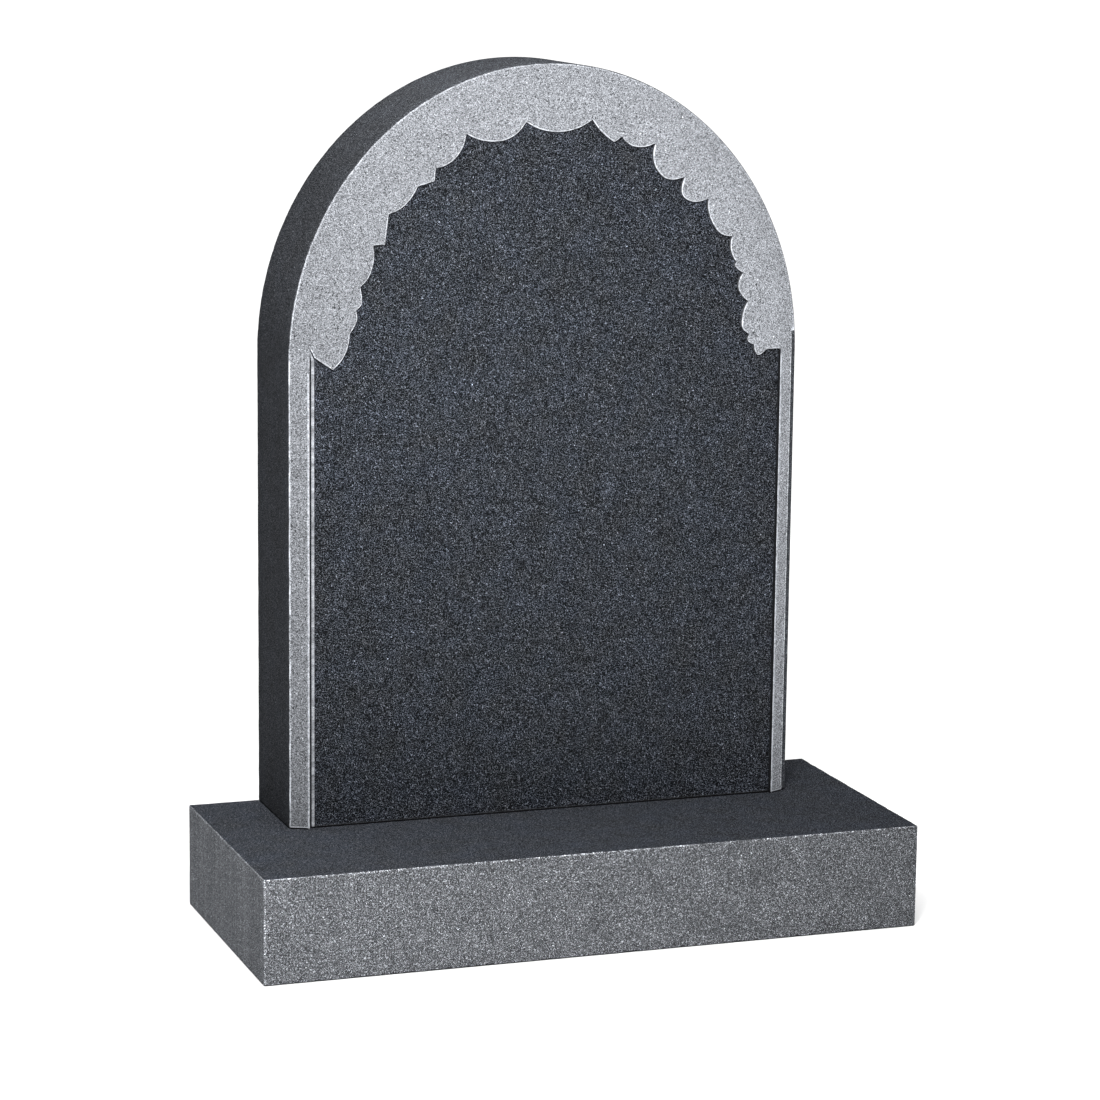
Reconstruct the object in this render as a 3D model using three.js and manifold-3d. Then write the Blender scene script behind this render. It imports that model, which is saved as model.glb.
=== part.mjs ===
// Headstone: a round-topped granite slab with a carved leafy border, standing on a granite plinth.
// Millimetres, +Z up, the front faces -Y. The origin is the centre of the plinth's underside.

import * as THREE from 'three';
import { mergeVertices } from 'three/addons/utils/BufferGeometryUtils.js';
import Module from 'manifold-3d';

const wasm = await Module();
wasm.setup();

// Plinth: one rectangular block
const PLINTH_WIDTH = 762;
const PLINTH_DEPTH = 330;
const PLINTH_HEIGHT = 117;
const PLINTH_ARRIS = 2.5;

// Slab: its outline, seen from the front, is a rectangle under a half ellipse
const SLAB_WIDTH = 600;
const SLAB_HEIGHT = 846;
const SLAB_THICKNESS = 141;
const ARCH_RISE = 326;
const SLAB_ARRIS = 1.5;

// Where the slab stands: its back is this far in from the plinth's back, on a thin bed joint
const BACK_LEDGE = 5;
const BED_JOINT = 0.3;

// Raised border: a plain chamfer up the straight sides, a wider soft cushion round the arch
const BORDER_FALL = 10;
const CHAMFER_WIDTH = 21.5;
const CUSHION_WIDTH = 46;
const CUSHION_BLEND = 22;

// Sunk field inside the border, with a narrow cut channel up each straight side
const FIELD_SINK = 5;
const CHANNEL_WALL = 2;
const CHANNEL_FLOOR = 4;
const CHANNEL_DEPTH = 1.5;
const LEFT_CHANNEL_TOP = 541;
const RIGHT_CHANNEL_TOP = 522;

// The carved edge of the arch, from the left springing over the top to the right. Each row is one
// petal: the notch where it starts (degrees round the arch, millimetres in from the slab's edge),
// then its tip in the same measures, and how straight the edge runs on each side of the tip, from
// 0 (a full round) to 1 (straight to a point). One value serves both sides where they are alike.
const PETALS = [
  [178.2, 27.5, 180.9, 48.2, 0.9, 0.1],
  [172.3, 65.3, 169.0, 71.5, 0.3],
  [166.6, 67.8, 164.6, 73.0, 0.4],
  [160.8, 65.8, 156.0, 72.5, 0.0],
  [150.3, 62.3, 148.6, 74.0, 0.9],
  [141.8, 59.9, 137.5, 69.5, 0.2],
  [131.7, 66.1, 127.4, 75.0, 0.8],
  [125.2, 64.9, 119.0, 69.5, 0.1],
  [113.9, 51.9, 105.0, 75.5, 0.1],
  [97.5, 61.2, 88.0, 75.2, 0.1],
  [79.0, 56.9, 71.6, 73.8, 0.3],
  [69.8, 64.4, 65.2, 68.9, 0.1],
  [60.5, 53.4, 54.4, 78.2, -0.2, 0.0],
  [48.8, 61.6, 45.0, 77.6, 0.0],
  [40.2, 56.3, 33.3, 67.0, 0.0, -0.2],
  [28.8, 53.5, 26.0, 61.3, 0.2],
  [22.5, 59.8, 21.9, 63.6, 0.3],
  [19.4, 55.9, 16.2, 66.0, 0.2],
  [12.3, 57.4, 6.6, 68.6, 0.1],
  [4.2, 59.7, 2.7, 62.7, 0.3],
  [1.6, 54.6, -0.8, 51.0, 0.4, 0.9],
];
const PETALS_END = [0.3, 27.5];
const PETAL_FULLNESS = 0.62;

// How finely curves are cut into straight edges
const ARCH_STEPS = 72;
const SIDE_STEPS = 2;
const CUSHION_STEPS = 5;
const PETAL_STEPS = 6;

// How far a cutting tool runs past the surface that it opens
const OVERCUT = 6;

// Places that follow from the sizes above
const halfWidth = SLAB_WIDTH / 2;
const footZ = PLINTH_HEIGHT + BED_JOINT;
const springZ = footZ + SLAB_HEIGHT - ARCH_RISE;
const backY = PLINTH_DEPTH / 2 - BACK_LEDGE;
const crestY = backY - SLAB_THICKNESS;
const fieldY = crestY + FIELD_SINK;
const channelInset = CHAMFER_WIDTH + CHANNEL_WALL;
const fieldInset = channelInset + CHANNEL_FLOOR;

// Solids for joining and cutting
function toSolid(geometry) {
  const bare = geometry.clone();
  bare.deleteAttribute('normal');
  bare.deleteAttribute('uv');
  const merged = mergeVertices(bare, 1e-4);
  const vertProperties = new Float32Array(merged.attributes.position.array);
  const triVerts = new Uint32Array(merged.index.array);
  return new wasm.Manifold(new wasm.Mesh({ numProp: 3, vertProperties, triVerts }));
}

function toGeometry(solid) {
  const mesh = solid.getMesh();
  const geometry = new THREE.BufferGeometry();
  geometry.setAttribute('position', new THREE.BufferAttribute(mesh.vertProperties, 3));
  geometry.setIndex(new THREE.BufferAttribute(mesh.triVerts, 1));
  geometry.computeVertexNormals();
  return geometry;
}

// A closed body through rings of equally many points, from the back ring to the front ring.
// Each ring runs clockwise seen from the front, and the two end rings are flat.
function loft(rings) {
  const count = rings[0].length;
  const positions = rings.flat().flatMap((p) => [p.x, p.y, p.z]);
  const index = [];
  for (let k = 0; k + 1 < rings.length; k++) {
    for (let i = 0; i < count; i++) {
      const j = (i + 1) % count;
      const [a, b] = [k * count + i, k * count + j];
      const [c, d] = [a + count, b + count];
      index.push(a, d, b, a, c, d);
    }
  }
  const last = (rings.length - 1) * count;
  const cap = (ring) => THREE.ShapeUtils.triangulateShape(ring.map((p) => new THREE.Vector2(p.x, p.z)), []);
  for (const [a, b, c] of cap(rings[0])) index.push(a, c, b);
  for (const [a, b, c] of cap(rings.at(-1))) index.push(last + a, last + b, last + c);
  const geometry = new THREE.BufferGeometry();
  geometry.setAttribute('position', new THREE.Float32BufferAttribute(positions, 3));
  geometry.setIndex(index);
  return geometry;
}

// An outline in the plane of the slab's face, given as x and z, made a block from y0 to y1
function block(outline, y0, y1) {
  const shape = new THREE.Shape(outline);
  const geometry = new THREE.ExtrudeGeometry(shape, { depth: y1 - y0, bevelEnabled: false });
  geometry.rotateX(Math.PI / 2);
  geometry.translate(0, y1, 0);
  return geometry;
}

// A point of the arch: degrees from its right springing, millimetres in from the slab's edge
function archPoint(degrees, inset) {
  const angle = THREE.MathUtils.degToRad(degrees);
  const x = (halfWidth - inset) * Math.cos(angle);
  const z = springZ + (ARCH_RISE - inset) * Math.sin(angle);
  return new THREE.Vector2(x, z);
}

// Stations round the slab's edge, clockwise from the left foot. Each has its angle on the arch,
// or its height on a straight side, and how far it has gone from chamfer (0) to cushion (1).
function edgeStations() {
  const stations = [];
  for (let i = 0; i < SIDE_STEPS; i++) {
    stations.push({ degrees: 180, drop: 1 - i / SIDE_STEPS, cushion: 0 });
  }
  for (let i = 0; i <= ARCH_STEPS; i++) {
    const degrees = 180 - (180 * i) / ARCH_STEPS;
    const fromSpring = Math.min(degrees, 180 - degrees);
    const cushion = THREE.MathUtils.smoothstep(fromSpring, 0, CUSHION_BLEND);
    stations.push({ degrees, drop: 0, cushion });
  }
  for (let i = 1; i <= SIDE_STEPS; i++) {
    stations.push({ degrees: 0, drop: i / SIDE_STEPS, cushion: 0 });
  }
  return stations;
}

// One ring of the slab at a given inset and y, or one step up the border's face
function plainRing(inset, y) {
  return edgeStations().map(({ degrees, drop }) => {
    const p = archPoint(degrees, inset);
    return new THREE.Vector3(p.x, y, p.y - drop * (springZ - footZ));
  });
}

// The border's face: share 0 is the slab's edge, share 1 its crest. The chamfer rises in a
// straight line, and the cushion as a parabola that is level where it meets the crest.
function borderRing(share) {
  return edgeStations().map(({ degrees, drop, cushion }) => {
    const width = THREE.MathUtils.lerp(CHAMFER_WIDTH, CUSHION_WIDTH, cushion);
    const straight = 1 - share;
    const fall = BORDER_FALL * THREE.MathUtils.lerp(straight, straight * straight, cushion);
    const p = archPoint(degrees, width * share);
    return new THREE.Vector3(p.x, crestY + fall, p.y - drop * (springZ - footZ));
  });
}

function slabBody() {
  const rings = [plainRing(SLAB_ARRIS, backY), plainRing(0, backY - SLAB_ARRIS)];
  for (let i = 0; i <= CUSHION_STEPS; i++) rings.push(borderRing(i / CUSHION_STEPS));
  return loft(rings);
}

// The control point of one half of a petal, between a notch and the tip. A round half reaches the
// tip level with the petal's chord, and a straight half runs directly from notch to tip.
function petalControl(notch, tip, chord, straightness) {
  const along = tip.clone().sub(notch).dot(chord);
  const round = tip.clone().addScaledVector(chord, -along * PETAL_FULLNESS);
  const straight = notch.clone().lerp(tip, 0.5);
  return round.lerp(straight, straightness);
}

function petalEdge() {
  const notches = [...PETALS, PETALS_END].map(([degrees, inset]) => archPoint(degrees, inset));
  const path = new THREE.Path();
  path.moveTo(notches[0].x, notches[0].y);
  PETALS.forEach(([, , tipDegrees, tipInset, before, after = before], i) => {
    const [start, end] = [notches[i], notches[i + 1]];
    const tip = archPoint(tipDegrees, tipInset);
    const chord = end.clone().sub(start).normalize();
    const rise = petalControl(start, tip, chord, before);
    const fall = petalControl(end, tip, chord, after);
    path.quadraticCurveTo(rise.x, rise.y, tip.x, tip.y);
    path.quadraticCurveTo(fall.x, fall.y, end.x, end.y);
  });
  return path.getPoints(PETAL_STEPS);
}

// The sunk field: straight sides and foot, with the petals hanging into its top
function fieldCutter() {
  const side = halfWidth - fieldInset;
  const below = footZ - OVERCUT;
  const foot = [new THREE.Vector2(side, below), new THREE.Vector2(-side, below)];
  return block([...petalEdge(), ...foot], crestY - OVERCUT, fieldY);
}

// The channel between border and field: a steep wall down from the crest, then a shallow floor
// that rises to the field. side is -1 for the left channel and 1 for the right.
function channelCutter(side, top) {
  const section = [
    [CHAMFER_WIDTH, crestY - OVERCUT],
    [CHAMFER_WIDTH, crestY],
    [channelInset, fieldY + CHANNEL_DEPTH],
    [fieldInset, fieldY],
    [fieldInset + OVERCUT, crestY - OVERCUT],
  ];
  const outline = section.map(([inset, y]) => new THREE.Vector2(side * (halfWidth - inset), y));
  const geometry = new THREE.ExtrudeGeometry(new THREE.Shape(outline), {
    depth: top + OVERCUT,
    bevelEnabled: false,
  });
  geometry.translate(0, 0, footZ - OVERCUT);
  return geometry;
}

function makeSlab() {
  const solid = toSolid(slabBody())
    .subtract(toSolid(fieldCutter()))
    .subtract(toSolid(channelCutter(-1, LEFT_CHANNEL_TOP)))
    .subtract(toSolid(channelCutter(1, RIGHT_CHANNEL_TOP)));
  const material = new THREE.MeshStandardMaterial({ color: 0x44464a, roughness: 0.45, metalness: 0 });
  const slab = new THREE.Mesh(toGeometry(solid), material);
  slab.name = 'upright_slab';
  return slab;
}

// The plinth's block, with every edge broken by the same small arris
function makePlinth() {
  const [x, y, cut] = [PLINTH_WIDTH / 2, PLINTH_DEPTH / 2, PLINTH_ARRIS];
  const corners = [
    [-x + cut, -y], [x - cut, -y], [x, -y + cut], [x, y - cut],
    [x - cut, y], [-x + cut, y], [-x, y - cut], [-x, -y + cut],
  ];
  const shape = new THREE.Shape(corners.map(([px, py]) => new THREE.Vector2(px, py)));
  const geometry = new THREE.ExtrudeGeometry(shape, {
    depth: PLINTH_HEIGHT - 2 * cut,
    bevelThickness: cut,
    bevelSize: cut,
    bevelOffset: -cut,
    bevelSegments: 1,
  });
  geometry.translate(0, 0, cut);
  const material = new THREE.MeshStandardMaterial({ color: 0x5f6166, roughness: 0.6, metalness: 0 });
  const plinth = new THREE.Mesh(geometry, material);
  plinth.name = 'plinth';
  return plinth;
}

const headstone = new THREE.Group();
headstone.add(makePlinth(), makeSlab());

export default headstone;
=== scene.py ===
import math

import bpy
import numpy as np
from mathutils import Matrix, Vector
from mathutils.geometry import delaunay_2d_cdt


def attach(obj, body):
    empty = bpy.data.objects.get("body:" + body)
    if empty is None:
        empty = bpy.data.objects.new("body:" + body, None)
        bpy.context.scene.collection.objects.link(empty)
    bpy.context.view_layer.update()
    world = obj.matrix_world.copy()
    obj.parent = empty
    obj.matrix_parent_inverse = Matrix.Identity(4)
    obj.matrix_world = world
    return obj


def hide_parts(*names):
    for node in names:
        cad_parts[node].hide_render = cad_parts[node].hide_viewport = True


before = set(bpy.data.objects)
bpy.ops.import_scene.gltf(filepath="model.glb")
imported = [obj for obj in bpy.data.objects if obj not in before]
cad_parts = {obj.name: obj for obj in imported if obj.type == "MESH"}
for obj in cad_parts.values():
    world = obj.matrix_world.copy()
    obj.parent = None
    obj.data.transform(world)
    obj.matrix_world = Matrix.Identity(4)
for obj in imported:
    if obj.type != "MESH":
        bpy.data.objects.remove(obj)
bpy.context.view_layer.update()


# Plinth. One block of fine dark grey granite, sawn to size. Its top is honed smooth and dark, its front
# is left coarse and paler from the tool, its ends and back are rubbed finer, and the arrises that are
# handled most have worn a little round and pale, the paleness partly wear and partly a painted
# highlight. The foot, the back arris and the right end carry painted shade.
plinth_width = 0.762
plinth_depth = 0.330
plinth_height = 0.117
plinth_arris = 0.0017
plinth_spacing = 0.0025
upright_corner = 1.4 * plinth_arris
foot_arris_share = 0.8
widest_wear = 1.6
least_wear = 0.5
arris_steps = 6
side_rows = 30
side_margin = 0.035
smooth_up_to = math.radians(38)

# A station of the plan faces one side squarely past the first share, is at a round corner below the
# second, and is at the back past the third.
square_on = 0.7
corner_below = 0.98
back_past = 0.3

# A wave of chance is how far it goes, over how many places of the path, and its seed.
plinth_waves = ((0.28, 5, 11), (0.16, 1.7, 12))
nick_wave = (2.2, 2.6, 13)
nick_threshold = 0.72
patch_wave = (0.6, 2.2, 14)
corner_wave = (0.7, 1.4, 15)
streak_wave = (0.12, 1.3, 16)

# Each finish of the stone is its lightness, how many times paler its palest grains are than its darkest,
# how polished it is, from 0 to 1, and how pale (1) or dark (-1) the fine curls in it are.
top_finish = (0.0308, 16.0, 0.75, 0.8)
front_finish = (0.084, 58.0, 0.0, 0.7)
end_finish = (0.112, 22.0, 0.0, 0.5)
# Painted shade: a dark line along the lowest arris, where the plinth meets the floor.
painted_foot_shade = (0.015, 4.0, 0.0, 0.5)
# Painted shade: the back's top arris and its back corners are darkened.
painted_back_arris_shade = (0.035, 4.0, 0.0, 0.5)

# Wear and a painted highlight pale a top arris by these shares from its lower to its upper strip, most
# along the front.
rubbed_and_highlight_lightness = 0.25
arris_wear_and_highlight = (0.2, 0.8, 1.0, 0.7, 0.1)
end_arris_wear_and_highlight = 0.4
corner_wear_and_highlight = 0.6
mean_wear_and_highlight = 0.6

# Painted shade: how much darker the front and the top are at the right end than at the left, as shares.
front_painted_shade = 0.30
top_painted_shade = 0.31

# The grain: how fine each pattern is, to the metre, how far or how sharply it goes, and what it weighs in
# the stone's lightness, then the two tints, the roughness and the pits of the dressed faces.
crystal_scale = 1400.0
crystal_weight = 0.5
grain_offset = -0.45
bend_scale = 700.0
bend_reach = 0.0016
curl_scale = 600.0
curl_thinness = 14.0
curl_weight = 0.9
fleck_scale = 170.0
fleck_sharpness = 7.0
fleck_weight = 0.5
cloud_scale = 32.0
cloud_weight = 0.1
blue_gain = 1.6
blue_offset = -0.05
grey_tint = (0.96, 1.0, 1.08, 1)
blue_tint = (0.89, 1.0, 1.25, 1)
dressed_roughness = 0.8
polished_roughness = 0.3
crystal_roughness = 0.1
pit_scale = 700.0
pit_depth = 0.0003


def smooth_chance(count, reach, seed):
    """Smooth random numbers from -1 to 1 along a path: chance values every `reach` places, and between
    two of them a cosine blend, (1 - cos(pi t)) / 2, from one to the other."""
    knots = np.random.default_rng(seed).uniform(-1, 1, int(count / reach) + 3)
    place = np.arange(count) / reach
    left = place.astype(int)
    blend = (1 - np.cos(math.pi * (place - left))) / 2
    return knots[left] * (1 - blend) + knots[left + 1] * blend


def around(mean, count, *waves):
    """The mean plus the sum of some waves of chance, one value for each of `count` places."""
    value = mean
    for size, reach, seed in waves:
        value = value + size * smooth_chance(count, reach, seed)
    return value


def grid_faces(rows, stations, closed, start=0):
    """Quads over a grid of rows and stations, numbered row by row from start. Each face goes from one
    row to the next and then along the path, and a closed path joins its last station to its first."""
    along = np.arange(stations if closed else stations - 1)
    row, place = np.meshgrid(np.arange(rows - 1), along, indexing="ij")
    after = (place + 1) % stations
    here = start + row * stations
    faces = np.stack([here + place, here + stations + place, here + stations + after, here + after], -1)
    return faces.reshape(-1, 4)


def rounded_block_path(width, depth, corner, spacing):
    """A rectangle with round corners, run anticlockwise seen from above, as points and outward
    directions: a straight side with a point every `spacing`, then a quarter circle in six steps."""
    points, outward = [], []
    bend = np.linspace(0, math.pi / 2, 7)[1:-1]
    curve = np.stack([np.sin(bend), -np.cos(bend)], 1)
    for quarter in range(4):
        half, reach = (width / 2, depth / 2) if quarter % 2 == 0 else (depth / 2, width / 2)
        along = np.linspace(corner - half, half - corner, int(2 * half / spacing))
        side = np.stack([along, np.full(along.size, -reach)], 1)
        arc = np.array([half - corner, corner - reach]) + corner * curve
        local = np.concatenate([side, arc])
        facing = np.concatenate([np.tile([0.0, -1.0], (along.size, 1)), curve])
        spin = quarter * math.pi / 2
        rotate = np.array([[math.cos(spin), math.sin(spin)], [-math.sin(spin), math.cos(spin)]])
        points.append(local @ rotate)
        outward.append(facing @ rotate)
    return np.concatenate(points), np.concatenate(outward)


def worn_block(width, depth, height, arris, spacing):
    """A block as a profile carried round its plan. The profile climbs from the underside to the top,
    with a quarter circle at each arris whose radius wanders along the path as the wear does."""
    plan, outward = rounded_block_path(width, depth, upright_corner, spacing)
    count = len(plan)
    wear = around(1, count, *plinth_waves)
    depth_of_nick, *nick_chance = nick_wave
    nick = np.clip(smooth_chance(count, *nick_chance) - nick_threshold, 0, 1) * depth_of_nick
    low = arris * (foot_arris_share * wear + nick)
    high = arris * np.clip(wear + nick, least_wear, widest_wear)
    bend = np.linspace(0, math.pi / 2, arris_steps)
    inset = [low * (1 - math.sin(a)) for a in bend]
    level = [low * (1 - math.cos(a)) for a in bend]
    for share in np.linspace(side_margin, 1 - side_margin, side_rows):
        inset.append(np.zeros(count))
        level.append(np.full(count, height * share))
    inset += [high * (1 - math.cos(a)) for a in bend]
    level += [height - high * (1 - math.sin(a)) for a in bend]
    inset, level = np.array(inset), np.array(level)
    ring = plan[None] - outward[None] * inset[..., None]
    points = np.concatenate([ring, level[..., None]], 2)
    return points, outward


def new_piece(name, points, faces, flat_faces):
    """A mesh object at the origin, with its place in its points. Its grid faces are smooth up to a
    crease, and the large flat ones stay flat right up to their borders."""
    mesh = bpy.data.meshes.new(name)
    mesh.from_pydata(points.reshape(-1, 3).tolist(), [], [*map(tuple, faces.tolist()), *flat_faces])
    mesh.shade_smooth()
    mesh.set_sharp_from_angle(angle=smooth_up_to)
    is_smooth = np.concatenate([np.ones(len(faces), bool), np.zeros(len(flat_faces), bool)])
    mesh.polygons.foreach_set("use_smooth", is_smooth)
    piece = bpy.data.objects.new(name, mesh)
    bpy.context.scene.collection.objects.link(piece)
    return piece


def note_finish(piece, finishes):
    """Keeps each face's finish with the mesh as a colour, for the stone's material to read."""
    layer = piece.data.attributes.new("finish", "FLOAT_COLOR", "FACE")
    layer.data.foreach_set("color", np.asarray(finishes, np.float32).ravel())


def granite(name, gloss):
    """Fine-grained granite. Crystals are the cells of a bent Voronoi pattern, each with its own chance
    lightness, and thin curls, pale or dark as the finish says, run where a noise passes through its
    middle value. With a few pale flecks and faint clouds they add up to a grain value round 0, and the
    stone's lightness is the finish's lightness times the finish's ratio to that power."""
    material = bpy.data.materials.new(name)
    material.use_nodes = True
    tree = material.node_tree
    tree.nodes.clear()

    def node(kind, inputs=(), **settings):
        made = tree.nodes.new(kind)
        for key, value in settings.items():
            setattr(made, key, value)
        for key, value in dict(inputs).items():
            if isinstance(value, bpy.types.NodeSocket):
                tree.links.new(value, made.inputs[key])
            else:
                made.inputs[key].default_value = value
        return made

    def maths(operation, *values, clamp=False):
        made = node("ShaderNodeMath", dict(enumerate(values)), operation=operation, use_clamp=clamp)
        return made.outputs[0]

    place = node("ShaderNodeTexCoord").outputs["Object"]
    bend = node("ShaderNodeTexNoise", {"Vector": place, "Scale": bend_scale, "Detail": 1.0})
    bent = node(
        "ShaderNodeVectorMath",
        {0: bend.outputs["Color"], 1: (bend_reach, bend_reach, bend_reach), 2: place},
        operation="MULTIPLY_ADD",
    ).outputs[0]
    crystal = node("ShaderNodeTexVoronoi", {"Vector": bent, "Scale": crystal_scale})
    chance = node("ShaderNodeSeparateColor", {"Color": crystal.outputs["Color"]})
    curl = node("ShaderNodeTexNoise", {"Vector": place, "Scale": curl_scale, "Detail": 0.0})
    off_line = maths("ABSOLUTE", maths("SUBTRACT", curl.outputs["Fac"], 0.5))
    curls = maths("MULTIPLY_ADD", off_line, -curl_thinness, 1.0, clamp=True)
    fleck = node("ShaderNodeTexVoronoi", {"Vector": bent, "Scale": fleck_scale})
    flecks = maths("MULTIPLY_ADD", fleck.outputs["Distance"], -fleck_sharpness, 1.0, clamp=True)
    cloud = node("ShaderNodeTexNoise", {"Vector": place, "Scale": cloud_scale, "Detail": 2.0})
    finish = node("ShaderNodeAttribute", attribute_name="finish")
    parts = node("ShaderNodeSeparateColor", {"Color": finish.outputs["Color"]})
    lightness, ratio, polish = parts.outputs
    grain = maths("MULTIPLY_ADD", chance.outputs[0], crystal_weight, grain_offset)
    grain = maths("MULTIPLY_ADD", maths("MULTIPLY", curls, finish.outputs["Alpha"]), curl_weight, grain)
    grain = maths("MULTIPLY_ADD", flecks, fleck_weight, grain)
    grain = maths("MULTIPLY_ADD", cloud.outputs["Fac"], cloud_weight, grain)
    stone = maths("MULTIPLY", maths("POWER", ratio, grain), lightness)
    cloudiness = maths("MULTIPLY_ADD", cloud.outputs["Fac"], blue_gain, blue_offset)
    blueness = maths("MULTIPLY", polish, cloudiness)
    tint = node("ShaderNodeMix", {0: blueness, 6: grey_tint, 7: blue_tint}, data_type="RGBA").outputs[2]
    colour = node("ShaderNodeVectorMath", {0: tint, "Scale": stone}, operation="SCALE").outputs[0]

    finish_range = {"Value": polish, 3: dressed_roughness, 4: polished_roughness}
    rough = node("ShaderNodeMapRange", finish_range).outputs[0]
    rough = maths("MULTIPLY_ADD", chance.outputs[2], crystal_roughness, rough)
    pit_shape = {"Vector": place, "Scale": pit_scale, "Detail": 2.0, "Roughness": 0.6}
    pits = node("ShaderNodeTexNoise", pit_shape).outputs["Fac"]
    dressed = maths("SUBTRACT", 1.0, polish)
    bump = node("ShaderNodeBump", {"Strength": dressed, "Distance": pit_depth, "Height": pits})
    shader = node(
        "ShaderNodeBsdfPrincipled",
        {"Base Color": colour, "Roughness": rough, "Normal": bump.outputs[0], "Specular IOR Level": gloss},
    )
    node("ShaderNodeOutputMaterial", {"Surface": shader.outputs[0]})
    return material


points, outward = worn_block(plinth_width, plinth_depth, plinth_height, plinth_arris, plinth_spacing)
rows, count = points.shape[:2]
strips = rows - 1
arris_strips = arris_steps - 1
sides = grid_faces(rows, count, True)[:, ::-1]
under = tuple(range(count))[::-1]

# The top: quads from the front arris to the back one, and one face for what is left at each end.
long_side = int(plinth_width / plinth_spacing)
back_start = (count + 1) // 2
front_row = strips * count + np.arange(long_side)
back_row = strips * count + back_start + np.arange(long_side)[::-1]
top = np.stack([front_row[:-1], front_row[1:], back_row[1:], back_row[:-1]], 1)
right_top = tuple(range(front_row[-1], back_row[-1] + 1))
left_top = (*range(back_row[0], rows * count), front_row[0])
flats = [under, left_top, right_top, *map(tuple, top.tolist())]
plinth = new_piece("granite_plinth", points, sides, flats)

at_front = outward[:, 1] < -square_on
at_back = outward[:, 1] > back_past
at_end = np.abs(outward[:, 0]) > square_on
at_left = outward[:, 0] < -square_on
at_corner = np.abs(outward).max(1) < corner_below
finishes = np.tile(np.where(at_front[:, None], front_finish, end_finish), (strips, 1, 1))
finishes[-1] = top_finish
finishes[..., 0] *= 1 + np.where(at_end, around(0, count, streak_wave), 0)

# The wear and painted highlight of the arris, strip by strip from the foot to the top, then the painted
# shade at the foot and along the back.
middle_strips = strips - 2 * arris_strips
up_corner = np.clip(around(mean_wear_and_highlight, middle_strips, corner_wave), 0, 1)
patchy = np.clip(around(mean_wear_and_highlight, count, patch_wave), 0, 1) * np.where(at_left, end_arris_wear_and_highlight, 1)
wear = np.zeros((strips, count))
wear[arris_strips:-arris_strips] = at_corner * corner_wear_and_highlight * up_corner[:, None]
wear[-arris_strips:] = np.array(arris_wear_and_highlight)[:, None] * patchy
finishes[..., 0] += (rubbed_and_highlight_lightness - finishes[..., 0]) * wear
finishes[:arris_strips] = painted_foot_shade
finishes[-arris_strips:, at_back] = painted_back_arris_shade
finishes[arris_strips:, at_back & at_corner] = painted_back_arris_shade
finishes = finishes.reshape(-1, 4)


def share_right(faces):
    """How far along the plinth each face's middle lies, from 0 at the left end to 1 at the right."""
    return 0.5 + points.reshape(-1, 3)[faces].mean(1)[:, 0] / plinth_width


# Painted shade: the sides and the top darken towards the right end.
finishes[:, 0] *= 1 - front_painted_shade * share_right(sides)
top_finishes = np.tile(top_finish, (len(top) + 2, 1))
top_finishes[:, 0] *= 1 - top_painted_shade * np.concatenate([[0, 1], share_right(top)])
note_finish(plinth, np.concatenate([finishes, [end_finish], top_finishes]))
plinth.data.materials.append(granite("plinth_granite", gloss=0.0))
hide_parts("plinth")
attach(plinth, "root")


# Upright slab. One slab of the same granite under a half-elliptic arch. Its face and edges are polished;
# the border is left proud of the face, chamfered up the sides, rounded to a cushion round the arch, and
# frosted with a point tool, which bruises the stone nearly white. A chisel cut the leaves' edge.
slab_width = 0.600
slab_height = 0.846
arch_rise = 0.326
foot_z = 0.1173
back_y = 0.160
crest_y = 0.019
field_y = 0.024
edge_y = 0.029
spring_z = foot_z + slab_height - arch_rise
half_width = slab_width / 2

# The border: its widths, and the degrees of the arch between which the chamfer turns into the cushion.
chamfer_width = 0.0215
cushion_width = 0.046
cushion_start = 4.2
cushion_blend = 22.0
crest_strip = 0.002
rim_width = 0.0014
left_margin = 0.0002
right_margin = 0.0044
right_margin_top = 4.3
margin_step = 0.0002

# The channels: a wall, a floor and a slope out to the field, run out at the top of each channel.
channel_wall = 0.001
channel_floor = 0.0027
channel_slope = 0.0027
channel_depth = 0.0015
channel_play = 0.0002
left_channel_top = 0.541
right_channel_top = 0.522
right_channel_share = 0.3
left_run_out = 0.015
right_run_out = 0.007
run_out_gap = 0.0005
wall_lean = 0.0005

back_arris = 0.002
front_arris = 0.0007
arris_set_back = 0.0003
slab_waves = ((0.25, 4, 21), (0.15, 1.6, 22))
petal_round = 0.0012
petal_fullness = 0.62
petal_steps = 22
tight_turn = 45.0
turn_reach = 3

# How fine the mesh is: the low rows of the joint, then even steps up the sides, the arch and the edge.
foot_rows = (0.0017, 0.0029)
first_row = 0.004
side_steps = 150
arch_steps = 640
channel_spacing = 0.003
leaf_spacing = 0.0008
border_rows = 13
foot_narrowing = 0.0007
foot_thickness_share = 0.99

# Rows of the mesh that lie nearly in one plane stay a hair apart, less so near the top of a channel.
hair = 0.0001
least_hair_share = 0.02
hair_reach = 0.01

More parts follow.
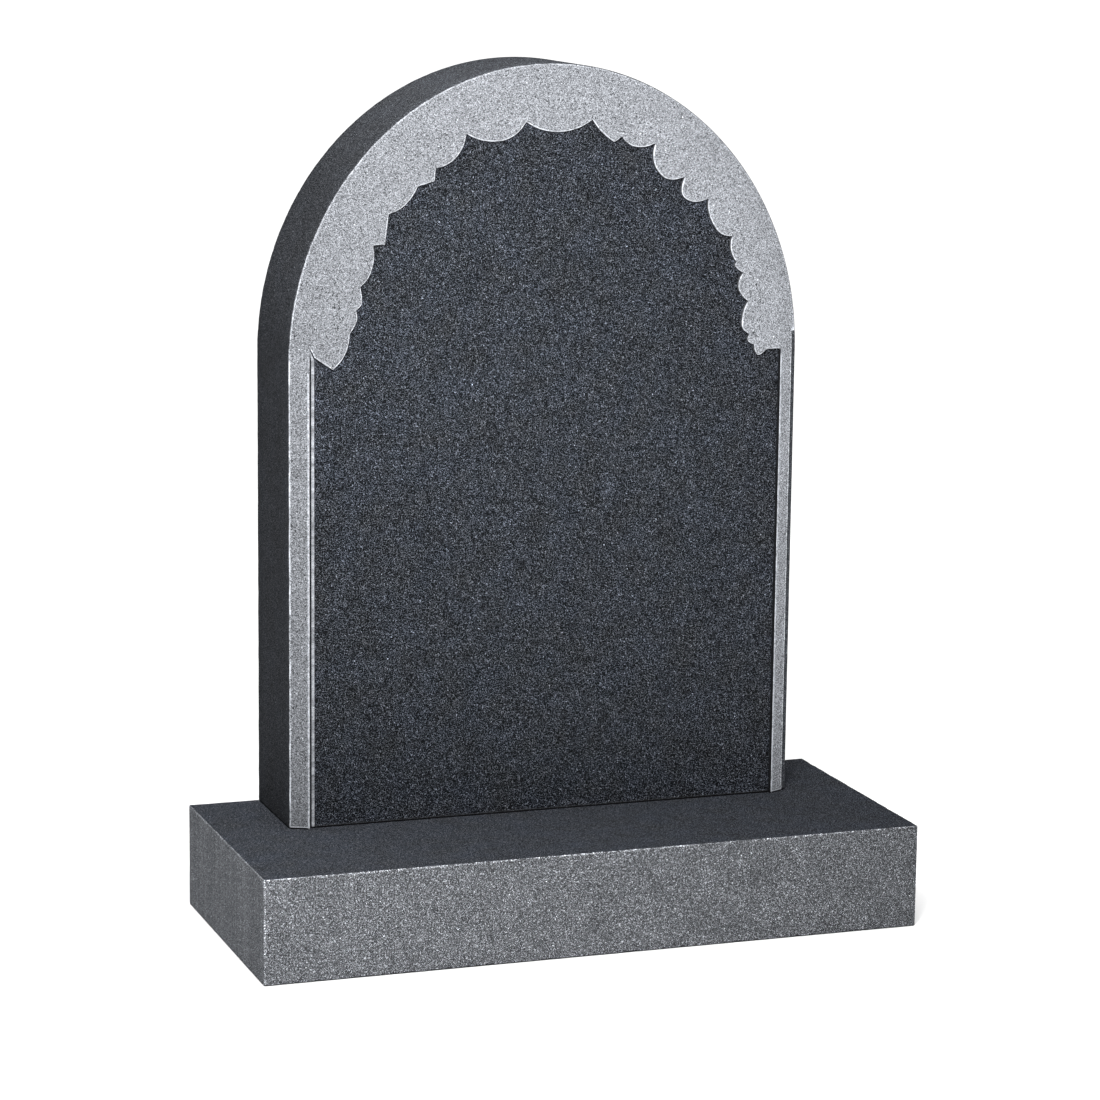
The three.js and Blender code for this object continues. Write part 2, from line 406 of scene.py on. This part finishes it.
# One petal a row, from the left springing to the right: the notch where it starts (degrees round the
# arch and metres in from the slab's edge), its tip, and how straight the edge runs before and after it.
petals = np.array([
    [178.2, 0.0275, 180.9, 0.0482, 0.9, 0.1],
    [172.3, 0.0653, 169.0, 0.0715, 0.3, 0.3],
    [166.6, 0.0678, 164.6, 0.0730, 0.4, 0.4],
    [160.8, 0.0658, 156.0, 0.0725, 0.0, 0.0],
    [150.3, 0.0623, 148.6, 0.0740, 0.9, 0.9],
    [141.8, 0.0599, 137.5, 0.0695, 0.2, 0.2],
    [131.7, 0.0661, 127.4, 0.0750, 0.8, 0.8],
    [125.2, 0.0649, 119.0, 0.0695, 0.1, 0.1],
    [113.9, 0.0519, 105.0, 0.0755, 0.1, 0.1],
    [97.5, 0.0612, 88.0, 0.0752, 0.1, 0.1],
    [79.0, 0.0569, 71.6, 0.0738, 0.3, 0.3],
    [69.8, 0.0644, 65.2, 0.0689, 0.1, 0.1],
    [60.5, 0.0534, 54.4, 0.0782, -0.2, 0.0],
    [48.8, 0.0616, 45.0, 0.0776, 0.0, 0.0],
    [40.2, 0.0563, 33.3, 0.0670, 0.0, -0.2],
    [28.8, 0.0535, 26.0, 0.0613, 0.2, 0.2],
    [22.5, 0.0598, 21.9, 0.0636, 0.3, 0.3],
    [19.4, 0.0559, 16.2, 0.0660, 0.2, 0.2],
    [12.3, 0.0574, 6.6, 0.0686, 0.1, 0.1],
    [4.2, 0.0597, 2.7, 0.0627, 0.3, 0.3],
    [1.6, 0.0546, -0.95, 0.0505, 0.4, 0.2],
    [0.25, 0.0398, 0.35, 0.0335, 0.9, 0.9],
])
last_notch = (0.38, 0.0275)

# The slab's finishes, in the same four values as the plinth's.
field_finish = (0.0094, 66.0, 1.0, 1.0)
side_finish = (0.030, 20.0, 0.3, 0.5)
arch_edge_finish = (0.035, 50.0, 0.3, 0.5)
back_finish = (0.030, 6.0, 0.6, 0.5)
frost_finish = (0.340, 16.0, 0.0, -0.8)
# The two bands are one frosted finish in lit and shaded copies: the left is painted darker as painted
# shade, the right paler as painted light.
left_band_painted_shade_finish = (0.300, 27.0, 0.0, -0.7)
right_band_painted_light_finish = (0.456, 27.0, 0.0, -0.7)
joint_finish = (0.006, 3.0, 0.3, 0.5)
# The channels' walls and floor: polished stone, darkened as painted shade.
groove_painted_shade = (0.014, 6.0, 0.5, 0.5)
# The left channel's slope: frosted, painted paler as a highlight.
slope_painted_highlight = (0.46, 4.0, 0.0, -0.5)
# The rims' finish: paler, partly with wear and partly as a painted highlight along rounded edges.
rim_wear_and_highlight_finish = (0.72, 3.0, 0.0, -0.2)

# How the finishes change over the slab: the frost is painted paler to the right, a painted light that
# grows by the first value below for each metre, and the rest are shares of a finish's lightness.
frost_painted_light = 0.6
# Painted shade: the bands darken towards the foot, to the first share here at the foot and rising by the
# second to the springing.
band_foot_shade_share = 0.88
band_shade_height_share = 0.14
# Painted highlight: the rims on the right are paler still by this share.
right_rim_highlight_share = 1.3
foot_rim_share = 0.65
# Painted shadow: the walls under the petals are the frost darkened to this share.
under_petal_shadow_share = 0.4
# Painted light: the slab's edge is lighter over the crown and the right, a little darker at 145 degrees.
crown_light_degrees = (0, 112, 145, 180)
crown_light_shares = (1.5, 1.5, 0.92, 1)
# How strongly the outer rim is painted pale round the arch, with wear and as a painted highlight.
rim_degrees = (3, 8, 70, 100, 172, 180)
rim_shares = (1, 0, 0, 0.5, 0.65, 1)
glint_degrees = 0.45
leaf_fade_height = 0.12
rim_wave = (0.35, 2.2, 32)
mean_rim = 0.65
petal_wave = (0.35, 4, 31)
mean_petal_rim = 0.75
slope_wave = (0.35, 1.5, 33)
mean_slope = 0.85
crest_seed = 34
crest_range = (0.35, 0.8)
crest_gap = 0.01


def arch_point(degrees, inset):
    """A point of the arch: x is (half width - inset) cos a, and z is the springing plus
    (rise - inset) sin a, so each inset has its own half ellipse."""
    angle = np.radians(degrees)
    x = (half_width - inset) * np.cos(angle)
    z = spring_z + (arch_rise - inset) * np.sin(angle)
    return np.stack([x, z], -1)


def petal_edge():
    """The leaves' edge. Each petal is two quadratic curves, (1-t)^2 A + 2t(1-t) B + t^2 C, one from
    its notch to its tip and one on to the next notch. B lies level with the tip along the petal's
    chord for a round side, and half way from notch to tip for a straight one."""
    notches = np.concatenate([arch_point(petals[:, 0], petals[:, 1]), [arch_point(*last_notch)]])
    tips = arch_point(petals[:, 2], petals[:, 3])
    chord = notches[1:] - notches[:-1]
    chord /= np.linalg.norm(chord, axis=1, keepdims=True)

    def half_petal(notch, straightness):
        along = ((tips - notch) * chord).sum(1, keepdims=True)
        full = tips - chord * along * petal_fullness
        return full + (notch / 2 + tips / 2 - full) * straightness[:, None]

    rise = np.stack([notches[:-1], half_petal(notches[:-1], petals[:, 4]), tips], 1)
    fall = np.stack([tips, half_petal(notches[1:], petals[:, 5]), notches[1:]], 1)
    curve = np.stack([rise, fall], 1).reshape(-1, 3, 2)
    t = np.linspace(0, 1, petal_steps, endpoint=False)[None, :, None]
    a, b, c = curve[:, None, 0], curve[:, None, 1], curve[:, None, 2]
    edge = (1 - t) ** 2 * a + 2 * t * (1 - t) * b + t**2 * c
    return np.concatenate([edge.reshape(-1, 2), notches[-1:]])


def even_path(points, spacing):
    """The same path with a point every `spacing` of its length."""
    length = np.concatenate([[0], np.cumsum(np.linalg.norm(np.diff(points, axis=0), axis=1))])
    place = np.linspace(0, length[-1], int(round(length[-1] / spacing)) + 1)
    return np.stack([np.interp(place, length, points[:, k]) for k in (0, 1)], 1)


def right_of(path):
    """Unit directions square to a path at each point, to the right of its run seen from the front."""
    run = np.gradient(path, axis=0)
    run /= np.linalg.norm(run, axis=1, keepdims=True)
    return np.stack([run[:, 1], -run[:, 0]], 1)


# The body: a profile carried round the outline, from the back, over the edge and up the border.
climb = np.concatenate([[0, *foot_rows], np.linspace(first_row, spring_z - foot_z, side_steps)[:-1]])
angles = np.linspace(180, 0, arch_steps)
degrees = np.concatenate([np.full(climb.size, 180.0), angles, np.full(climb.size, 0.0)])
below_spring = spring_z - foot_z - climb
drop = np.concatenate([below_spring, np.zeros(angles.size), below_spring[::-1]])
off_side = np.minimum(degrees, 180 - degrees) - cushion_start
from_spring = np.clip(off_side / (cushion_blend - cushion_start), 0, 1)
cushion = from_spring * from_spring * (3 - 2 * from_spring)
count = degrees.size
on_left = degrees > 90
margin = np.where(on_left | (degrees > right_margin_top), left_margin, right_margin)


def outline(inset, depth):
    """The outline at an inset and a depth, one point a station, as x, y and z."""
    flat = arch_point(degrees, inset)
    return np.stack([flat[:, 0], np.broadcast_to(depth, (count,)), flat[:, 1] - drop], 1)


wander = around(1, count, *slab_waves)
body = []
radius = back_arris * wander
for a in np.linspace(0, math.pi / 2, 5):
    body.append(outline(radius * (1 - math.sin(a)), back_y - radius * (1 - math.cos(a))))
for share in (0.8, 0.6, 0.4, 0.2):
    body.append(outline(0.0, edge_y + (back_y - edge_y) * share))
radius = front_arris * wander
for a in np.linspace(0, math.pi / 2, 4):
    body.append(outline(radius * (1 - math.cos(a)), edge_y + arris_set_back + radius * (1 - math.sin(a))))
margin_strip = len(body) - 1
body.append(outline(radius + margin, edge_y - margin_step))
width = chamfer_width + (cushion_width - chamfer_width) * cushion
border_start = radius + margin + rim_width
border_width = width - crest_strip - border_start
insets = [border_start + border_width * share for share in np.linspace(0, 1, border_rows)]
for inset in (radius + margin + rim_width / 2, *insets):
    straight = 1 - inset / width
    fall = (edge_y - crest_y) * (straight + (straight**2 - straight) * cushion)
    body.append(outline(inset, crest_y + fall))
body = np.array(body)
body_rows = len(body)

# The carving: a second profile carried up one channel, round the leaves' edge and down the other.
channel_x = half_width - chamfer_width - channel_play
left_rows = np.arange(first_row, left_channel_top, channel_spacing)
right_rows = np.arange(first_row, right_channel_top - run_out_gap, channel_spacing)
left_rise = np.concatenate([[0, *foot_rows], left_rows])
right_rise = np.concatenate([[0, *foot_rows], right_rows])
left_line = np.stack([np.full(left_rise.size, -channel_x), foot_z + left_rise], 1)
right_line = np.stack([np.full(right_rise.size, channel_x), foot_z + right_rise], 1)[::-1]
leaves = petal_edge()
lead = even_path(np.array([[-channel_x, foot_z + left_channel_top], leaves[0]]), leaf_spacing)
trail = even_path(np.array([leaves[-1], [channel_x, foot_z + right_channel_top]]), leaf_spacing)
leaf_line = even_path(np.concatenate([lead[:-1], leaves, trail[1:]]), leaf_spacing)
soft = np.array([0.25, 0.5, 0.25])
leaf_line[1:-1] = np.stack([np.convolve(leaf_line[:, k], soft, "valid") for k in (0, 1)], 1)
path = np.concatenate([left_line, leaf_line, right_line])
place = np.arange(len(path))
in_left_channel = place < len(left_line)
in_right_channel = place >= len(left_line) + len(leaf_line)
in_channel = in_left_channel | in_right_channel
toward = right_of(path)
toward[in_left_channel] = (1.0, 0.0)
toward[in_right_channel] = (-1.0, 0.0)

# The petals' edge is rounded less where it turns tightly, so that the rounding never folds over itself.
turn = (toward[2 * turn_reach:] * toward[:-2 * turn_reach]).sum(1)
turn = np.degrees(np.arccos(np.clip(turn, -1, 1)))
tightness = np.concatenate([np.zeros(turn_reach), turn, np.zeros(turn_reach)])
rounding = petal_round / (1 + (tightness / tight_turn) ** 2) * np.where(in_channel, 0.5, 1)

# How fully each point of the path has its channel cut, from 0 on the leaves to 1 down the left channel.
to_left_top = foot_z + left_channel_top - path[:, 1]
to_right_top = foot_z + right_channel_top - path[:, 1]
cut = np.zeros(len(path))
cut[in_left_channel] = np.clip(to_left_top / left_run_out, 0, 1)[in_left_channel]
cut[in_right_channel] = np.clip(to_right_top / right_run_out, 0, 1)[in_right_channel] * right_channel_share
wall_out = channel_wall * cut
wall_deep = field_y + channel_depth * cut

from_end = np.minimum(
    np.hypot(path[:, 0] + channel_x, to_left_top),
    np.hypot(path[:, 0] - channel_x, to_right_top),
)
apart = hair * np.clip(from_end / hair_reach, least_hair_share, 1)
floor_out = wall_out + channel_floor * cut + apart
slope_out = floor_out + channel_slope * cut + apart
quarter = np.linspace(0, math.pi / 2, 4)
carving = [
    *((rounding * (math.sin(a) - 1), crest_y + rounding * (1 - math.cos(a))) for a in quarter),
    (wall_out / 2, (crest_y + wall_deep) / 2 + wall_lean),
    (wall_out, wall_deep - hair),
    (floor_out, wall_deep - hair / 2),
    (slope_out, np.full(len(path), field_y)),
]
carved = []
for out, deep in carving:
    flat = path + toward * out[:, None]
    carved.append(np.stack([flat[:, 0], deep, flat[:, 1]], 1))
carved = np.array(carved)


def fill(loop, points):
    """Triangles over a flat region inside a loop of numbered points, facing the front: a constrained
    Delaunay net of their x and z, which adds no point of its own."""
    flat = [Vector((points[i][0], points[i][2])) for i in loop]
    verts, _, tris, source, _, _ = delaunay_2d_cdt(flat, [], [list(range(len(loop)))], 1, 1e-7)
    owner = [loop[s[0]] if s else None for s in source]
    made = []
    for a, b, c in tris:
        if None in (owner[a], owner[b], owner[c]):
            continue
        side = (verts[b] - verts[a]).cross(verts[c] - verts[a])
        made.append((owner[a], owner[b], owner[c]) if side > 0 else (owner[a], owner[c], owner[b]))
    return made


points = np.concatenate([body.reshape(-1, 3), carved.reshape(-1, 3)])
inner = body_rows * count
inner_rows, inner_count = carved.shape[:2]
body_faces = grid_faces(body_rows, count, False)
carved_faces = grid_faces(inner_rows, inner_count, False, inner)
crest_row = (body_rows - 1) * count + np.arange(count)
carving_top = inner + np.arange(inner_count)
field_row = inner + (inner_rows - 1) * inner_count + np.arange(inner_count)
crest_faces = fill([*crest_row.tolist(), *carving_top[::-1].tolist()], points)
field_faces = fill(field_row.tolist(), points)
back_face = tuple(range(count))
left_foot = [*range(0, inner, count), *range(inner, inner + inner_rows * inner_count, inner_count)]
right_foot = [i + count - 1 for i in left_foot[:body_rows]]
right_foot += [i + inner_count - 1 for i in left_foot[body_rows:]]
under_face = (*right_foot, *left_foot[::-1])

# The foot's last points draw in a little from every side, as the mortar joint is raked back.
at_foot = points[:, 2] < foot_z + 1e-6
middle_y = (back_y + field_y) / 2
points[at_foot, 0] *= 1 - foot_narrowing / half_width
points[at_foot, 1] = middle_y + (points[at_foot, 1] - middle_y) * foot_thickness_share

slab = new_piece("granite_upright_slab", points, np.concatenate([body_faces, carved_faces]),
                 [*crest_faces, *field_faces, back_face, under_face])


def mix(first, second, share):
    """From the first finish to the second by a share of each place."""
    return first + (np.array(second) - first) * share


def frost_at(x):
    """The frosted finish at each x, painted paler to the right as painted light."""
    finish = np.tile(frost_finish, (len(x), 1))
    finish[:, 0] *= 1 + frost_painted_light * x
    return finish


# The finishes of the body's faces, strip by strip.
on_arch = 1 - np.clip(1 - from_spring, 0, 1)[:-1, None] ** 2
height_share = np.where(drop > 0, 1 - drop / (spring_z - foot_z), 1)[:-1]
# Painted shade on the left band and painted light on the right.
band = np.where(on_left[:-1, None], left_band_painted_shade_finish, right_band_painted_light_finish)
# Painted shade: the bands darken towards the foot.
band[:, 0] *= band_foot_shade_share + band_shade_height_share * height_share
band = mix(band, frost_at(arch_point(degrees, 0)[:-1, 0]), on_arch)
# The outer rim: paler with wear and a painted highlight, and paler still at the right as a painted
# highlight.
rubbed_and_highlit = np.clip(around(mean_rim, count - 1, rim_wave), 0, 1)
rubbed_and_highlit *= np.interp(degrees[:-1], rim_degrees, rim_shares)
rim = mix(band, rim_wear_and_highlight_finish, rubbed_and_highlit[:, None])
rim[:, 0] *= np.where(on_left[:-1], 1, right_rim_highlight_share)
side = mix(np.array(side_finish), arch_edge_finish, on_arch)
# Painted light on the edge over the crown and the right.
side[:, 0] *= np.interp(degrees[:-1], crown_light_degrees, crown_light_shares)
at_glint = np.abs(degrees[:-1] - right_margin_top) < glint_degrees
body_finish = np.tile(band, (body_rows - 1, 1, 1))
body_finish[:margin_strip + 1] = side
body_finish[margin_strip, at_glint] = rim_wear_and_highlight_finish
body_finish[margin_strip + 1:margin_strip + 3] = rim
body_finish[margin_strip + 1:, [1, -2]] = np.array(rim_wear_and_highlight_finish) * [foot_rim_share, 1, 1, 1]
body_finish[:, [0, -1]] = joint_finish

# The finishes of the carving's faces: three strips of rounding, two of wall, the floor and the slope.
# The rounding is paler with wear and a painted highlight; the walls under the petals take a painted
# shadow, the channels' walls and floor painted shade, and the left channel's slope a painted highlight.
face_x = path[:-1, 0]
above_spring = np.clip((path[:-1, 1] - spring_z) / leaf_fade_height, 0, 1)[:, None]
# The leaves low on the sides share the bands' painted shade and light.
leaf = np.where(face_x[:, None] < 0, left_band_painted_shade_finish, right_band_painted_light_finish)
leaf = mix(leaf, frost_at(face_x), 0.5 + 0.5 * above_spring)
rubbed_and_highlit = np.clip(around(mean_petal_rim, len(face_x), petal_wave), 0, 1)
mottled = around(mean_slope, len(face_x), slope_wave)
groove_here = in_channel[:-1, None]
slope_here = in_left_channel[:-1]
carved_finish = np.zeros((inner_rows - 1, inner_count - 1, 4))
# Wear and a painted highlight along the petals' rounded edge.
carved_finish[:3] = mix(leaf, rim_wear_and_highlight_finish, rubbed_and_highlit[:, None])
# Painted shadow on the walls under the petals.
petal_shadow = np.array(frost_finish) * [under_petal_shadow_share, 1, 1, 1]
# Painted shade on the channels' walls and floor.
carved_finish[3:5] = np.where(groove_here, groove_painted_shade, petal_shadow)
carved_finish[5] = np.where(groove_here, groove_painted_shade, field_finish)
# Painted highlight on the left channel's slope, mottled by chance.
carved_finish[6] = np.where(slope_here[:, None], slope_painted_highlight, field_finish)
carved_finish[6, :, 0] *= np.where(slope_here, mottled, 1)
carved_finish[:, [0, -1]] = joint_finish

# The finishes of the two flat regions: the crest of the border, paler beside the channels with rubbing
# and a painted highlight, and the field, dark at the joint.
crest_middle = points[np.array(crest_faces)].mean(1)
crest_finishes = frost_at(crest_middle[:, 0])
beside_channel = crest_middle[:, 2] < foot_z + right_channel_top - crest_gap
crest_finishes[beside_channel] = rim_wear_and_highlight_finish
crest_chance = np.random.default_rng(crest_seed).uniform(*crest_range, beside_channel.sum())
crest_finishes[beside_channel, 0] *= crest_chance
field_finishes = np.tile(field_finish, (len(field_faces), 1))
field_top = points[np.array(field_faces), 2].max(1) - foot_z
field_finishes[field_top < foot_rows[1] + hair] = side_finish
field_finishes[field_top < foot_rows[0] + hair] = joint_finish
note_finish(slab, np.concatenate([
    body_finish.reshape(-1, 4), carved_finish.reshape(-1, 4), crest_finishes, field_finishes,
    [back_finish, back_finish],
]))

# The face and border have a faint shine, and the edge, the back and the underside have none.
slab.data.materials.append(granite("slab_granite", gloss=0.05))
slab.data.materials.append(granite("slab_edge_granite", gloss=0.0))
is_edge = np.zeros(len(slab.data.polygons), np.int32)
is_edge[:(margin_strip + 1) * (count - 1)] = 1
is_edge[-2:] = 1
slab.data.polygons.foreach_set("material_index", is_edge)
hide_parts("upright_slab")
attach(slab, "root")


# Floor. A pale matt studio floor, which carries the stone and is no part of it. It reaches so far that
# its border is never in view.
floor_reach = 40.0
floor_grey = 0.95
corners = [(x * floor_reach, y * floor_reach, 0) for x, y in ((-1, -1), (1, -1), (1, 1), (-1, 1))]
floor_mesh = bpy.data.meshes.new("studio_floor")
floor_mesh.from_pydata(corners, [], [(0, 1, 2, 3)])
floor = bpy.data.objects.new("studio_floor", floor_mesh)
bpy.context.scene.collection.objects.link(floor)
floor_paint = bpy.data.materials.new("matt white floor")
floor_paint.use_nodes = True
paint = floor_paint.node_tree.nodes["Principled BSDF"].inputs
paint["Base Color"].default_value = (floor_grey, floor_grey, floor_grey, 1)
paint["Roughness"].default_value = 0.9
paint["Specular IOR Level"].default_value = 0.0
floor_mesh.materials.append(floor_paint)


# Light. An even pale studio all round, a wide soft light straight above that whitens the floor, and a
# gridded soft lamp in front and to the left, which makes a pool on the upper face of the slab.
surround = 0.45
above_strength = 2.4
above_angle = math.radians(70)
lamp_size = 0.5
lamp_power = 9
lamp_spread = math.radians(75)
lamp_place = Vector((-0.6, -1.35, 1.45))
lamp_aim = Vector((-0.08, 0, 0.68))
world = bpy.data.worlds.new("pale studio")
world.use_nodes = True
world.node_tree.nodes["Background"].inputs["Color"].default_value = (1, 1, 1, 1)
world.node_tree.nodes["Background"].inputs["Strength"].default_value = surround
bpy.context.scene.world = world
above_data = bpy.data.lights.new("soft light above", "SUN")
above_data.energy = above_strength
above_data.angle = above_angle
above = bpy.data.objects.new("soft light above", above_data)
above.location = (0, 0, 3)
bpy.context.scene.collection.objects.link(above)
lamp_data = bpy.data.lights.new("soft key", "AREA")
lamp_data.shape = "DISK"
lamp_data.size = lamp_size
lamp_data.energy = lamp_power
lamp_data.spread = lamp_spread
lamp = bpy.data.objects.new("soft key", lamp_data)
lamp.location = lamp_place
lamp.rotation_euler = (lamp_aim - lamp_place).to_track_quat("-Z", "Y").to_euler()
bpy.context.scene.collection.objects.link(lamp)


# Camera. A little above the stone's top and to its left, looking down with a long lens, as in the
# photograph. It is placed by where the stone's middle lies in its view.
stone_middle = Vector((0, 0, 0.4))
middle_in_view = Vector((0.004373, -0.022970, -4.056758))
yaw = 0.341222
pitch = 0.185561
roll = 0.011363
camera_data = bpy.data.cameras.new("camera")
camera_data.lens = 118.453
camera_data.sensor_width = 36
camera = bpy.data.objects.new("camera", camera_data)
tilted = Matrix.Rotation(math.pi / 2 - pitch, 3, "X") @ Matrix.Rotation(roll, 3, "Z")
turned = Matrix.Rotation(-yaw, 3, "Z") @ tilted
camera.matrix_world = Matrix.Translation(stone_middle - turned @ middle_in_view) @ turned.to_4x4()
bpy.context.scene.collection.objects.link(camera)
bpy.context.scene.camera = camera
bpy.context.scene.view_settings.view_transform = "Standard"

bpy.context.view_layer.update()
